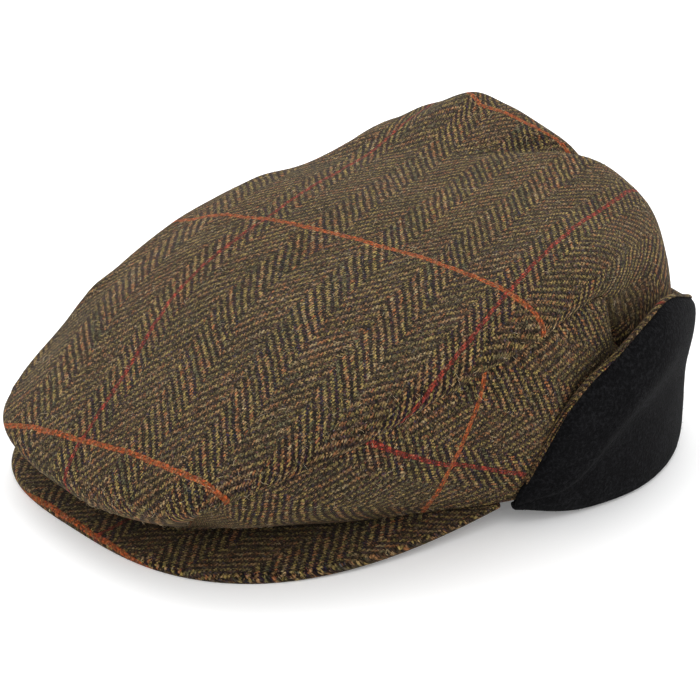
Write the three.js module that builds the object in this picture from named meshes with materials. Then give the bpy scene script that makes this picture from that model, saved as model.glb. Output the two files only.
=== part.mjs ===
import * as THREE from "three";

// Earflap cap in millimetres. The front is -Y, the wearer's left is +X, up is +Z and the floor is z = 0.

const CLOTH = 2; // crown wall, tweed and backing together
const FLEECE = 2.2; // fleece face of the earflap
const FACING = 1.2; // tweed face of the earflap
const PLY_GAP = 0.5; // clearance between the two faces of the earflap
const SEAM_GAP = 0.7; // clearance along a crown seam
const BOARD = 4; // peak, board and cover together

const RIM = { halfWidth: 86, front: 100, back: 82, square: 2.4, height: 9 };
const SEAM_FOOT = 31; // degrees round the rim from the ear to the foot of the back seam
const SHOULDER = 87; // degrees turned by the top panel from the middle to the seam

const ACROSS = 28; // facets across the top panel
const ALONG = 30; // facets from the front of the crown to the back
const WALL = 10; // facets up a side panel
const ROUND = 36; // facets round the earflap

const radians = THREE.MathUtils.degToRad;
const lerp = THREE.MathUtils.lerp;
const smooth = THREE.MathUtils.smoothstep;
const gauss = (value, middle, half) => Math.exp(-(((value - middle) / half) ** 2));

const table = (columns, rows) =>
  rows.map((row) => Object.fromEntries(columns.map((name, i) => [name, row[i]])));

// Point of the rim at an angle from the wearer's left ear, towards the back.
function rimPoint(angle) {
  const c = Math.cos(radians(angle));
  const s = Math.sin(radians(angle));
  const n = RIM.square;
  const halfLength = s < 0 ? RIM.front : RIM.back;
  const reach = (Math.abs(c / RIM.halfWidth) ** n + Math.abs(s / halfLength) ** n) ** (-1 / n);
  return new THREE.Vector3(reach * c, reach * s, RIM.height);
}

// Level direction that leaves the rim squarely.
function rimOutward(angle) {
  const run = rimPoint(angle + 1).sub(rimPoint(angle - 1));
  return new THREE.Vector3(run.y, -run.x, 0).normalize();
}

const onRim = (angle) => rimPoint(angle).toArray();

// Top panel, a row for each section from the front of the crown to the rim at the back.
const CROWN = table(
  ["spineY", "spineZ", "seamX", "seamY", "seamZ", "square", "lean", "sway", "skew"],
  [
    [-123, 6.6, 28, -121, 6.8, 2.2, 0, -1, 0], // tuck on the peak
    [-147, 19, 53, -130, 24, 2.2, 0.05, -1, 0], // roll over the peak
    [-140, 32, 67, -118, 32, 2.25, 0.07, 0, 0], // brow
    [-110, 48, 80, -90, 41, 2.3, 0.08, 0, 0],
    [-64, 66, 89, -54, 54, 2.4, 0.08, 0, 0],
    [-14, 80, 91, -17, 63, 2.6, 0.08, 0, 0], // middle
    [34, 86, 86, 16, 66, 2.8, 0.09, 0, -0.04],
    [70, 91, 79, 34, 61, 3.6, -0.06, 0, -0.12], // back edge of the top
    [79, 76, 78, 38, 48, 2.9, -0.03, 0, -0.04],
    [81, 42, 78, 42, 30, 2.6, 0, 0, 0],
    [82, 9, 77, 46, 9, 2.4, 0, 0, 0], // rim
  ],
);

// Lower line of a side panel at the same sections: on the peak first, then along the rim.
const LOWER = table(
  ["x", "y", "z", "rollOut", "bulge"],
  [
    [28, -121, 6.8, 0, 0], // front tip
    [39, -105, 7.7, 13, 0.5],
    [50, -92, 8.3, 14, 1.5],
    [61, -76, 8.6, 12, 3],
    [72, -54, 8.9, 9, 4],
    [...onRim(-17), 3.5, 5], // temple
    [...onRim(-2), 1, 5],
    [...onRim(11), 0.5, 4],
    [...onRim(21), 0, 2.5],
    [...onRim(27), 0, 1],
    [...onRim(SEAM_FOOT), 0, 0], // foot of the back seam
  ],
);

// Soft dents of the top panel.
const DENTS = table(
  ["across", "along", "halfAcross", "halfAlong", "depth"],
  [
    [0.77, 0.61, 0.08, 0.03, 1.5], // crease above the back seam
    [-0.58, 0.68, 0.16, 0.05, 2.6], // beside the far back corner
    [-0.66, 0.62, 0.14, 0.05, 1.4], // far back shoulder
    [-0.62, 0.42, 0.14, 0.05, 3], // far shoulder
    [-0.66, 0.26, 0.14, 0.05, 3], // far brow
  ],
);

// Valley that runs forward from the back edge of the top, in plan.
const VALLEY = { fromX: 17, fromY: 78, toX: -14, toY: 45, half: 6, depth: 4.5, fade: 0.75 };

const PEAK = { tipY: -141.7, halfWidth: 83.6, templeY: -35, square: 3, inset: 10, sway: -6.3 };
const PEAK_EDGE_Z = { front: 1.2, temple: 6.5 };
const PEAK_ROOT_Z = { front: 6.3, temple: 6.4 };

// Earflap, a row for each section from the temple to the middle of the back.
const FLAP = table(
  ["angle", "foldOut", "foldZ", "ridgeOut", "ridgeZ", "topOut", "topZ"],
  [
    [-17, 5, 4.3, 6, 8.8, 5.5, 11.5],
    [-13, 6, 4, 8, 12.5, 7.5, 24],
    [-8, 8, 2.5, 11.3, 16, 9.8, 39.5],
    [-2, 9.5, 1, 13.5, 23, 11.5, 49.5],
    [5, 10.5, 0.2, 16, 35, 12.7, 56],
    [15, 11.5, 0, 17.5, 47, 13.5, 63],
    [25, 11, 0, 15.5, 50, 12.7, 63],
    [36, 10.3, 0, 13, 43, 11.5, 54.5],
    [48, 9.3, 0, 11.5, 35, 10.5, 46],
    [61, 8.5, 0, 10.5, 31, 10, 42.5],
    [76, 8, 0, 10, 30, 9, 41],
    [90, 8, 0, 10, 30, 9, 41],
  ],
);
const RIGHT_DROOP = 0.88; // height of the right half of the earflap against the left
const RIGHT_EASE = 0.5; // how much further out the right half stands at its top edge

// Smooth curve through the rows of a table, 0 at the first row and 1 at the last.
function sample(rows, place) {
  const last = rows.length - 1;
  const i = Math.min(Math.floor(place * last), last - 1);
  const f = place * last - i;
  const mixed = {};
  for (const name of Object.keys(rows[0])) {
    const here = rows[i][name];
    const next = rows[i + 1][name];
    const before = i > 0 ? rows[i - 1][name] : 2 * here - next;
    const after = i < last - 1 ? rows[i + 2][name] : 2 * next - here;
    const bend = 2 * before - 5 * here + 4 * next - after;
    const twist = 3 * here - before - 3 * next + after;
    mixed[name] = 0.5 * (2 * here + (next - before) * f + bend * f * f + twist * f * f * f);
  }
  return mixed;
}

// Depth of the valley at a place in plan.
function valleyDip(x, y) {
  const runX = VALLEY.toX - VALLEY.fromX;
  const runY = VALLEY.toY - VALLEY.fromY;
  const share = ((x - VALLEY.fromX) * runX + (y - VALLEY.fromY) * runY) / (runX ** 2 + runY ** 2);
  const held = THREE.MathUtils.clamp(share, 0, 1);
  const away = Math.hypot(x - VALLEY.fromX - held * runX, y - VALLEY.fromY - held * runY);
  return VALLEY.depth * (1 - VALLEY.fade * held) * gauss(away, 0, VALLEY.half);
}

// Top panel: across is -1 at the right seam and 1 at the left, along runs from front to back.
function topPanel(across, along) {
  const row = sample(CROWN, along);
  const side = Math.sign(across);
  const turn = Math.abs(across) * radians(SHOULDER);
  const power = 2 / row.square;
  const reach = (Math.sin(turn) / Math.sin(radians(SHOULDER))) ** power;
  const fall = (1 - Math.cos(turn) ** power) / (1 - Math.cos(radians(SHOULDER)) ** power);
  const x = side * row.seamX * reach;
  const y = lerp(row.spineY, row.seamY, fall) + row.skew * x;
  let z = lerp(row.spineZ, row.seamZ, fall) + row.lean * x;
  for (const dent of DENTS) {
    const spread = gauss(across, dent.across, dent.halfAcross) * gauss(along, dent.along, dent.halfAlong);
    z -= dent.depth * spread;
  }
  z -= valleyDip(x, y) * (1 - smooth(along, 0.72, 0.82));
  const hem = rimPoint(90 - across * (90 - SEAM_FOOT));
  const pull = smooth(along, 0.84, 1);
  return new THREE.Vector3(lerp(x + row.sway, hem.x, pull), lerp(y, hem.y, pull), z);
}

// Side panel: up is 0 on the lower line and 1 at the seam; side is 1 for the wearer's left.
function sidePanel(side, up, along) {
  const row = sample(LOWER, along);
  const step = 0.005;
  const before = sample(LOWER, Math.max(along - step, 0));
  const after = sample(LOWER, Math.min(along + step, 1));
  const out = new THREE.Vector3(side * (after.y - before.y), before.x - after.x, 0).normalize();
  const seam = topPanel(side, along);
  const low = new THREE.Vector3(side * row.x, row.y, row.z);
  const rise = Math.max(seam.z - low.z, 0);
  const lowHandle = low.clone().addScaledVector(out, 1.9 * row.rollOut);
  lowHandle.z += 0.25 * rise + 6;
  const highHandle = low.clone().lerp(seam, 0.62).addScaledVector(out, 1.5 * row.bulge);
  return new THREE.CubicBezierCurve3(low, lowHandle, highHandle, seam).getPoint(up);
}

const steps = (count, from, to) => Array.from({ length: count + 1 }, (_, i) => lerp(from, to, i / count));

// Outward direction at each point of a grid, worked out from its neighbours.
function gridNormals(grid, turn) {
  const rows = grid.length - 1;
  const columns = grid[0].length - 1;
  return grid.map((line, i) =>
    line.map((_, j) => {
      const jj = Math.min(Math.max(j, 1), columns - 1);
      const one = grid[Math.min(i + 1, rows)][jj].clone().sub(grid[Math.max(i - 1, 0)][jj]);
      const two = grid[i][Math.min(j + 1, columns)].clone().sub(grid[i][Math.max(j - 1, 0)]);
      return one.cross(two).multiplyScalar(turn).normalize();
    }),
  );
}

const offsetGrid = (grid, normals, depth) =>
  grid.map((line, i) => line.map((p, j) => p.clone().addScaledVector(normals[i][j], -depth)));

// Closed solid between two grids of the same size, joined along their four borders.
function solid(name, colour, roughness, front, back) {
  const rows = front.length;
  const columns = front[0].length;
  const places = [];
  const known = new Map();
  const faces = [];
  const weld = (p) => {
    const key = [p.x, p.y, p.z].map((value) => Math.round(value * 500)).join();
    if (!known.has(key)) {
      known.set(key, places.length);
      places.push(p);
    }
    return known.get(key);
  };
  const triangle = (a, b, c) => {
    const ids = [weld(a), weld(b), weld(c)];
    if (new Set(ids).size === 3) faces.push(...ids);
  };
  const quad = (a, b, c, d) => {
    triangle(a, b, c);
    triangle(a, c, d);
  };
  for (let i = 0; i < rows - 1; i++) {
    for (let j = 0; j < columns - 1; j++) {
      quad(front[i][j], front[i + 1][j], front[i + 1][j + 1], front[i][j + 1]);
      quad(back[i][j], back[i][j + 1], back[i + 1][j + 1], back[i + 1][j]);
    }
  }
  for (let i = 0; i < rows - 1; i++) {
    quad(front[i][0], back[i][0], back[i + 1][0], front[i + 1][0]);
    quad(front[i + 1][columns - 1], back[i + 1][columns - 1], back[i][columns - 1], front[i][columns - 1]);
  }
  for (let j = 0; j < columns - 1; j++) {
    quad(front[0][j + 1], back[0][j + 1], back[0][j], front[0][j]);
    quad(front[rows - 1][j], back[rows - 1][j], back[rows - 1][j + 1], front[rows - 1][j + 1]);
  }
  let volume = 0;
  for (let i = 0; i < faces.length; i += 3) {
    const [a, b, c] = faces.slice(i, i + 3).map((id) => places[id]);
    volume += a.dot(b.clone().cross(c)) / 6;
  }
  if (volume < 0) {
    faces.reverse();
  }
  const geometry = new THREE.BufferGeometry().setFromPoints(places);
  geometry.setIndex(faces);
  geometry.computeVertexNormals();
  const cloth = new THREE.MeshStandardMaterial({ color: colour, roughness, metalness: 0 });
  const mesh = new THREE.Mesh(geometry, cloth);
  mesh.name = name;
  return mesh;
}

const TWEED_COLOUR = 0x5a4a38;
const FLEECE_COLOUR = 0x1b1c1c;
const cap = new THREE.Group();
cap.name = "earflap_cap";

const alongSteps = steps(ALONG, 0, 1);
const acrossSteps = steps(ACROSS, -1, 1).map((share) => Math.sign(share) * Math.abs(share) ** 1.4);
const topGrid = acrossSteps.map((across) => alongSteps.map((along) => topPanel(across, along)));
const topNormals = gridNormals(topGrid, 1);

const sideGrids = [-1, 1].map((side) =>
  steps(WALL, 0, 1).map((up) => alongSteps.map((along) => sidePanel(side, up, along))),
);
const sideNormals = sideGrids.map((grid, k) => gridNormals(grid, k === 0 ? 1 : -1));

// Both panels take one common direction along the seam, so their walls meet edge to edge.
for (const [k, edge] of [0, ACROSS].entries()) {
  const inner = k === 0 ? 1 : -1;
  for (let j = 0; j <= ALONG; j++) {
    const shared = topNormals[edge][j].clone().add(sideNormals[k][WALL][j]).normalize();
    for (let away = 0; away < 5; away++) {
      const share = 1 - away / 5;
      topNormals[edge + inner * away][j].lerp(shared, share).normalize();
      sideNormals[k][WALL - away][j].lerp(shared, share).normalize();
    }
    const topPull = topGrid[edge + inner][j].clone().sub(topGrid[edge][j]).setLength(SEAM_GAP / 2);
    topGrid[edge][j].add(topPull);
    if (j > 0 && j < ALONG) {
      const sidePull = sideGrids[k][WALL - 1][j].clone().sub(sideGrids[k][WALL][j]).setLength(SEAM_GAP / 2);
      sideGrids[k][WALL][j].add(sidePull);
    }
  }
}

// The tips of a side panel draw back from the corner that they fill.
for (const grid of sideGrids) {
  for (const [tip, next] of [[0, 1], [ALONG, ALONG - 1]]) {
    const drawn = grid[0][tip].clone().lerp(grid[WALL / 2][next], 0.6);
    grid.forEach((line) => line[tip].copy(drawn));
  }
}
for (const normals of sideNormals) {
  for (const [tip, next] of [[0, 1], [ALONG, ALONG - 1]]) {
    const shared = normals[WALL / 2][next];
    normals.forEach((line) => line[tip].copy(shared));
  }
}

cap.add(solid("crown_top", TWEED_COLOUR, 0.95, topGrid, offsetGrid(topGrid, topNormals, CLOTH)));
["side_right", "side_left"].forEach((name, k) => {
  cap.add(solid(name, TWEED_COLOUR, 0.95, sideGrids[k], offsetGrid(sideGrids[k], sideNormals[k], CLOTH)));
});

// Peak: place runs from the right temple to the left, reach from the forehead line to the outer edge.
function peakPoint(place, reach, face) {
  const turn = place * Math.PI * 0.5;
  const power = 2 / PEAK.square;
  const sine = Math.sign(turn) * Math.abs(Math.sin(turn)) ** power;
  const cosine = Math.cos(turn) ** power;
  const toTemple = 1 - cosine;
  const edge = new THREE.Vector3(PEAK.halfWidth * sine, lerp(PEAK.templeY, PEAK.tipY, cosine), 0);
  edge.x += PEAK.sway * cosine;
  edge.z = lerp(PEAK_EDGE_Z.front, PEAK_EDGE_Z.temple, toTemple ** 2);
  const temple = Math.asin(-PEAK.templeY / RIM.front) * (180 / Math.PI);
  const root = rimPoint(-90 + place * (90 - temple));
  root.x -= Math.sign(place) * PEAK.inset * Math.abs(place);
  root.y += PEAK.inset * 0.5 * cosine;
  root.z = lerp(PEAK_ROOT_Z.front, PEAK_ROOT_Z.temple, toTemple ** 2);
  const middle = root.lerp(edge, reach);
  const round = Math.max(reach - 0.85, 0) / 0.15;
  middle.z += face * 0.5 * BOARD * Math.sqrt(Math.max(1 - round * round, 0.04));
  middle.z = Math.max(middle.z, 0);
  return middle;
}

const PEAK_REACH = [0, 0.2, 0.4, 0.6, 0.75, 0.87, 0.95, 1];
const peakGrid = (face) =>
  steps(32, -1, 1).map((place) => PEAK_REACH.map((reach) => peakPoint(place, reach, face)));
cap.add(solid("peak", TWEED_COLOUR, 0.95, peakGrid(1), peakGrid(-1)));

// Outer face of the earflap at one section, as points out from the rim and up from the floor.
function flapProfile(row) {
  const low = row.foldZ;
  const start = RIM.height - 0.85;
  return new THREE.CatmullRomCurve3([
    new THREE.Vector3(-4.2, start, 0),
    new THREE.Vector3(-4.2, lerp(low, start, 0.5), 0),
    new THREE.Vector3(-1.6, low, 0),
    new THREE.Vector3(row.foldOut * 0.7, low, 0),
    new THREE.Vector3(row.foldOut, low + Math.min(4.5, (row.ridgeZ - low) * 0.35), 0),
    new THREE.Vector3(lerp(row.foldOut, row.ridgeOut, 0.35), lerp(low, row.ridgeZ, 0.6), 0),
    new THREE.Vector3(row.ridgeOut, row.ridgeZ, 0),
    new THREE.Vector3(row.topOut, row.topZ, 0),
  ]);
}

// Point of the earflap: round is -1 at the right temple, 0 at the back and 1 at the left temple.
function flapFrame(round) {
  const row = sample(FLAP, 1 - Math.abs(round));
  const droop = lerp(1, RIGHT_DROOP, smooth(-round, 0, 0.6) * (1 - smooth(-round, 0.8, 1)));
  row.topZ *= droop;
  row.ridgeZ *= droop;
  row.topOut += RIGHT_EASE * smooth(-round, 0, 0.6);
  const angle = round < 0 ? 180 - row.angle : row.angle;
  return { row, rim: rimPoint(angle), out: rimOutward(angle) };
}

function flapPoint(frame, outwards, height) {
  const p = frame.rim.clone().addScaledVector(frame.out, outwards);
  p.z = height;
  return p;
}

const TURNED = 12; // facets from the rim, round the fold, to the top edge
const LIP = 4; // facets of the rolled edge

const plies = steps(ROUND, -1, 1).map((round) => {
  const frame = flapFrame(round);
  const curve = flapProfile(frame.row);
  const spots = steps(TURNED, 0, 1).map((k) => curve.getPoint(k));
  spots.forEach((spot) => {
    spot.y = Math.max(spot.y, frame.row.foldZ, 0);
  });
  const runs = steps(TURNED, 0, 1).map((k) => curve.getTangent(k));
  const normals = runs.map((run) => new THREE.Vector3(run.y, -run.x, 0));
  const ends = smooth(Math.abs(round), 0.85, 1);
  const thin = steps(TURNED, 0, 1).map((k) => Math.max(ends, smooth(k, 0.75, 1)));
  const fleece = thin.map((share) => FLEECE * lerp(1, 0.62, share));
  const facing = thin.map((share) => FACING * lerp(1, 0.85, share));
  const ply = (depths) => spots.map((spot, k) => spot.clone().addScaledVector(normals[k], -depths[k]));
  const apart = lerp(PLY_GAP, 0.8, ends);
  const under = fleece.map((depth) => depth + apart);
  const inside = under.map((depth, k) => depth + facing[k]);
  const half = fleece[TURNED] / 2;
  const top = spots[TURNED].clone().addScaledVector(normals[TURNED], -half);
  const lip = (radius) =>
    steps(LIP, Math.PI, 0).slice(1).map((turn) =>
      top
        .clone()
        .addScaledVector(normals[TURNED], radius * Math.cos(turn))
        .addScaledVector(runs[TURNED], radius * Math.sin(turn)),
    );
  const place = (spot) => flapPoint(frame, spot.x, spot.y);
  return {
    fleeceOut: spots.map(place),
    fleeceIn: ply(fleece).map(place),
    tweedOut: [...ply(under), ...lip(half + apart)].map(place),
    tweedIn: [...ply(inside), ...lip(half + apart + facing[TURNED])].map(place),
  };
});
const flapGrid = (name) => plies.map((ply) => ply[name]);
cap.add(solid("flap_fleece", FLEECE_COLOUR, 1, flapGrid("fleeceOut"), flapGrid("fleeceIn")));
cap.add(solid("flap_tweed", TWEED_COLOUR, 0.95, flapGrid("tweedOut"), flapGrid("tweedIn")));

// The origin lies on the floor under the middle of the whole cap.
const middle = new THREE.Box3().setFromObject(cap).getCenter(new THREE.Vector3());
cap.children.forEach((piece) => piece.geometry.translate(-middle.x, -middle.y, 0));

export default cap;
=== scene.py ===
import math
import random

import bpy
import numpy as np
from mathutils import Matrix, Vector, noise


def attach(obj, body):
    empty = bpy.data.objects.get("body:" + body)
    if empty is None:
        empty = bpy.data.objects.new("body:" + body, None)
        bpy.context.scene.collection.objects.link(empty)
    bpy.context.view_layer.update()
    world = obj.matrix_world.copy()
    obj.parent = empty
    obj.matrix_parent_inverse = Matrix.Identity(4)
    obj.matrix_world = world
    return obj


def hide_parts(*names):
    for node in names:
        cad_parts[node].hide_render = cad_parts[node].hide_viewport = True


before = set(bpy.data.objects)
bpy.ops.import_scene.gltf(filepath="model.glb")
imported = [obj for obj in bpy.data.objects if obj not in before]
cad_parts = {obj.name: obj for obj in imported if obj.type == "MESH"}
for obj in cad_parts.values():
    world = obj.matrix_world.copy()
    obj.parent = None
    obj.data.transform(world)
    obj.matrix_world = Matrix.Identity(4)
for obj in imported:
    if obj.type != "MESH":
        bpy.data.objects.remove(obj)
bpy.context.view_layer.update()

# Earflap cap. Sizes here are in millimetres from the middle of the head opening, and MIDDLE_Y moves
# them to the frame: the front is -Y, the wearer's left is +X, up is +Z and the floor is z = 0.
MM = 0.001
MIDDLE_Y = 27.65
TINY = 1e-9

# Thickness of each layer, and the space between the two layers of the earflap along it and at its ends.
CLOTH = 2.0
FLEECE = 2.2
FACING = 1.2
BOARD = 4.0
PLY_GAP = 0.5
END_GAP = 0.8

# Head opening. A side seam meets the rim SEAM_FOOT degrees behind the middle of that side.
RIM = {"half_width": 86, "front": 100, "back": 82, "square": 2.4, "height": 9}
SEAM_FOOT = 31


def rim_point(angle):
    c = math.cos(math.radians(angle))
    s = math.sin(math.radians(angle))
    n = RIM["square"]
    half_length = RIM["front"] if s < 0 else RIM["back"]
    reach = (abs(c / RIM["half_width"]) ** n + abs(s / half_length) ** n) ** (-1 / n)
    return np.array((reach * c, reach * s, RIM["height"]))


def rim_outward(angle):
    run = rim_point(angle + 1) - rim_point(angle - 1)
    return np.array((run[1], -run[0], 0)) / math.hypot(run[0], run[1])


# Top panel, a row for each section from the front of the crown to the rim at the back:
# spine y, spine z, seam x, seam y, seam z, squareness, lean, sway, skew.
CROWN = np.array([
    (-123, 6.6, 28, -121, 6.8, 2.2, 0, -1, 0),
    (-147, 19, 53, -130, 24, 2.2, 0.05, -1, 0),
    (-140, 32, 67, -118, 32, 2.25, 0.07, 0, 0),
    (-110, 48, 80, -90, 41, 2.3, 0.08, 0, 0),
    (-64, 66, 89, -54, 54, 2.4, 0.08, 0, 0),
    (-14, 80, 91, -17, 63, 2.6, 0.08, 0, 0),
    (34, 86, 86, 16, 66, 2.8, 0.09, 0, -0.04),
    (70, 91, 79, 34, 61, 3.6, -0.06, 0, -0.12),
    (79, 76, 78, 38, 48, 2.9, -0.03, 0, -0.04),
    (81, 42, 78, 42, 30, 2.6, 0, 0, 0),
    (82, 9, 77, 46, 9, 2.4, 0, 0, 0),
], dtype=float)

# How far a half section curves over from the spine to its seam.
SHOULDER = math.radians(87)

# Soft dents of the top panel: across, along, half across, half along, depth. A swell's depth is negative.
DENTS = (
    (0.77, 0.61, 0.08, 0.03, 1.5),
    (-0.58, 0.68, 0.16, 0.05, 2.6),
    (-0.48, 0.685, 0.12, 0.04, 1.8),
    (-0.25, 0.705, 0.1, 0.05, -2.0),
    (-0.08, 0.7, 0.06, 0.04, -1.0),
    (-0.62, 0.605, 0.12, 0.035, -2.0),
    (-0.62, 0.42, 0.14, 0.05, 1.5),
    (-0.66, 0.26, 0.14, 0.05, 2),
    (-0.85, 0.345, 0.1, 0.03, -2.5),
    (-0.84, 0.45, 0.1, 0.06, -1.2),
    (-0.72, 0.535, 0.1, 0.025, -1.8),
    (-0.72, 0.69, 0.1, 0.035, 2.5),
)

# Valley that runs forward from the back edge of the top, in plan. It dies out on VALLEY_END of the way
# along the panel, just past the back edge, and the panel is drawn in to the rim on HEM_PULL.
VALLEY = {"start": (17, 78), "end": (-14, 45), "half": 6, "depth": 6, "fade": 0.75}
VALLEY_END = (0.72, 0.82)
HEM_PULL = (0.84, 1)

# Lower line of a side panel at the same sections: x, y, z, roll, bulge.
LOWER = np.array([
    (28, -121, 6.8, 0, 0),
    (39, -105, 7.7, 13, 0.5),
    (50, -92, 8.3, 14, 1.5),
    (61, -76, 8.6, 12, 3),
    (72, -54, 8.9, 9, 4),
    (*rim_point(-17), 3.5, 5),
    (*rim_point(-2), 1, 5),
    (*rim_point(11), 0.5, 4),
    (*rim_point(21), 0, 2.5),
    (*rim_point(27), 0, 1),
    (*rim_point(SEAM_FOOT), 0, 0),
], dtype=float)

# How a side panel leaves its lower line, and how it comes to its seam.
SIDE_FOOT = {"roll": 1.9, "rise": 0.25, "lift": 6}
SIDE_HEAD = {"share": 0.62, "bulge": 1.5}
SIDE_STEP = 0.005

# Low on the back seam both panels stand out, fully on the left and by a share of it on the right.
CORNER = {"along": 0.76, "half": 0.1, "foot": (0.9, 1), "right": 0.25}
CORNER_WIDER = {"by": 5.5, "reach": 22}
CORNER_FORWARD = {"by": 6, "reach": 18}

# Seams: the edge of a panel rolls down to the stitches, with small puckers across it. Where a side panel
# is narrow, its seam rolls as little as SIDE_TIP_AWAY from the stitches.
SEAM_ROLL = {"depth": 0.9, "reach": 1.9, "power": 1.4}
PUCKER = {"height": 0.22, "wave": 2.9, "stray": 1.7, "stray_wave": 11, "group": 23, "reach": 9}
TOP_PUCKERS = 0.6
SIDE_PUCKERS = 2.1
SIDE_TIP_AWAY = 12

# Swells of the cloth: height, width and seed of each layer. The calm sizes are the distances from an edge,
# the width of a narrow panel and the height over the floor below which they die out. The pile keeps a
# share of its own at the brim.
TOP_SWELLS = ((0.9, 46, 1), (0.35, 17, 2))
SIDE_SWELLS = ((0.8, 38, 5), (0.3, 15, 8))
PILE_SWELLS = ((0.4, 21, 11), (0.2, 6, 12))
SWELL_SHIFT = (17.3, 5.1, 9.7)
TOP_CALM = 14
SIDE_CALM = {"seam": 12, "foot": 8, "narrow": 16}
PILE_CALM = 6
BRIM_PILE = 0.2

# Peak: its outer edge, its line under the forehead, and the board's thickness at the temples.
PEAK = {
    "tip_y": -141.7, "half_width": 83.6, "temple_y": -30, "square": 3, "sway": -6.3,
    "temple_inset": 10, "front_inset": 5}
PEAK_EDGE_Z = (1.2, 7.8)
PEAK_ROOT_Z = (6.3, 7.4)
PEAK_END_BOARD = 2.0

# Earflap, a row for each section from the temple to the middle of the back:
# angle, fold out, fold z, ridge out, ridge z, top out, top z.
FLAP = np.array([
    (-17, 3, 6.3, 3.8, 9.5, 3.4, 11.5),
    (-13, 5.4, 5, 7, 12.5, 6.6, 24),
    (-8, 8, 3, 11.3, 16, 9.6, 39.5),
    (-2, 9.5, 1, 13.5, 23, 11, 49.5),
    (5, 10.5, 0.2, 16, 35, 11.2, 55),
    (15, 11.5, 0, 17.5, 46, 10.6, 62.3),
    (25, 11, 0, 15.5, 49.5, 10, 65.5),
    (36, 10.3, 0, 13.4, 45, 11.8, 58.3),
    (48, 9.3, 0, 11.8, 36.5, 10.9, 48),
    (61, 8.5, 0, 10.5, 31, 10, 42.5),
    (76, 8, 0, 10, 30, 9, 41),
    (90, 8, 0, 10, 30, 9, 41),
], dtype=float)

# Columns of FLAP.
ANGLE, FOLD_Z, RIDGE_Z, TOP_OUT, TOP_Z = 0, 2, 4, 5, 6

# Section of the earflap. It starts FLAP_SEAT under the rim, and a pair is a place along it and at its tips.
FLAP_SEAT = 0.85
FLAP_INNER = (-4.2, -0.4)
FLAP_FOOT = (-1.6, 0.6)
FOLD_FLAT = 0.7
FOLD_ROUND = {"most": 4.5, "share": 0.35}
FLAP_WALL = {"out": 0.22, "up": 0.66}
FLAP_BROW = {"out": 0.45, "up": 0.72}
FLAP_SHOULDER = {"out": 0.8, "room": (4, 14), "tuck": 0.6}

# Where it is pinched and thinned, as shares of the way to a tip and up to the brim.
PINCHED = (0.9, 1)
THIN_ENDS = (0.85, 1)
THIN_BRIM = (0.75, 1)
FLEECE_THIN = 0.62
FACING_THIN = 0.85
LIP_FLUSH = {"out": 0.5, "in": 0.15}

# The right half hangs a little lower than the left.
RIGHT_DROOP = 0.88
RIGHT_EASE = 0.5
RIGHT_FROM = (0, 0.6)
RIGHT_TO = (0.8, 1)

# Steps of the meshes. The lines across the top crowd towards its spine, and the facing ends
# FACING_SHORT steps before the fleece.
ALONG_STEPS = 190
ACROSS_STEPS = 170
ACROSS_CROWDING = 1.4
SIDE_UP = 60
PEAK_PLACES = 150
PEAK_GIRTH = 96
FLAP_ROUND = 220
FLAP_TURN = 60
LIP_TURN = 12
FACING_SHORT = 4

# Mesh tools, in metres and radians.
MERGE = 0.00002
FINE_MERGE = 0.000005
STRAY_EDGE = 1e-6
SMOOTH_ANGLE = math.radians(50)


def lerp(a, b, f):
    return a + (b - a) * f


def smooth(value, low, high):
    f = min(max((value - low) / (high - low), 0), 1)
    return f * f * (3 - 2 * f)


def gauss(value, middle, half):
    return math.exp(-(((value - middle) / half) ** 2))


def sample(rows, place):
    """A smooth curve through the rows of a table, at a share of the way along them."""
    last = len(rows) - 1
    i = min(int(place * last), last - 1)
    f = place * last - i
    here, there = rows[i], rows[i + 1]
    before = rows[i - 1] if i > 0 else 2 * here - there
    after = rows[i + 2] if i < last - 1 else 2 * there - here
    bend = 2 * before - 5 * here + 4 * there - after
    twist = 3 * here - before - 3 * there + after
    return 0.5 * (2 * here + (there - before) * f + bend * f * f + twist * f ** 3)


def bezier(a, b, c, d, t):
    s = 1 - t
    return s ** 3 * a + 3 * s * s * t * b + 3 * s * t * t * c + t ** 3 * d


def grid_of(across, along, point):
    return np.array([[point(a, b) for b in along] for a in across])


def outward(grid, turn):
    one = np.gradient(grid, axis=0)
    two = np.gradient(grid, axis=1)
    one[:, 0] = one[:, 1]
    one[:, -1] = one[:, -2]
    normal = np.cross(one, two) * turn
    return normal / np.maximum(np.linalg.norm(normal, axis=2, keepdims=True), TINY)


def run_lengths(grid, axis, start):
    """Length of cloth along one direction of a grid, counted from the line numbered start."""
    step = np.linalg.norm(np.diff(grid, axis=axis), axis=2)
    total = np.cumsum(step, axis=axis)
    pad = [(0, 0), (0, 0)]
    pad[axis] = (1, 0)
    total = np.pad(total, pad)
    return total - np.take(total, [start], axis=axis)


def ripple(grid, width, seed):
    """Soft unevenness of cloth, about -1 to 1, with swells about width millimetres wide."""
    shift = Vector([seed * part for part in SWELL_SHIFT])
    values = [noise.noise(Vector(p) + shift) for p in grid.reshape(-1, 3) / width]
    return np.array(values).reshape(grid.shape[:2])


def swells(grid, layers, shift=0):
    return sum(height * ripple(grid, width, seed + shift) for height, width, seed in layers)


# Crown: the top panel and the two side panels, each with its swells, rolled seam edges and puckers.
along_steps = np.linspace(0, 1, ALONG_STEPS + 1)
across_shares = np.linspace(-1, 1, ACROSS_STEPS + 1)
across_steps = np.sign(across_shares) * np.abs(across_shares) ** ACROSS_CROWDING


def valley_dip(x, y):
    start, end = np.array(VALLEY["start"]), np.array(VALLEY["end"])
    run = end - start
    held = min(max(np.dot((x, y) - start, run) / np.dot(run, run), 0), 1)
    away = np.linalg.norm((x, y) - start - held * run)
    return VALLEY["depth"] * (1 - VALLEY["fade"] * held) * gauss(away, 0, VALLEY["half"])


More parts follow.
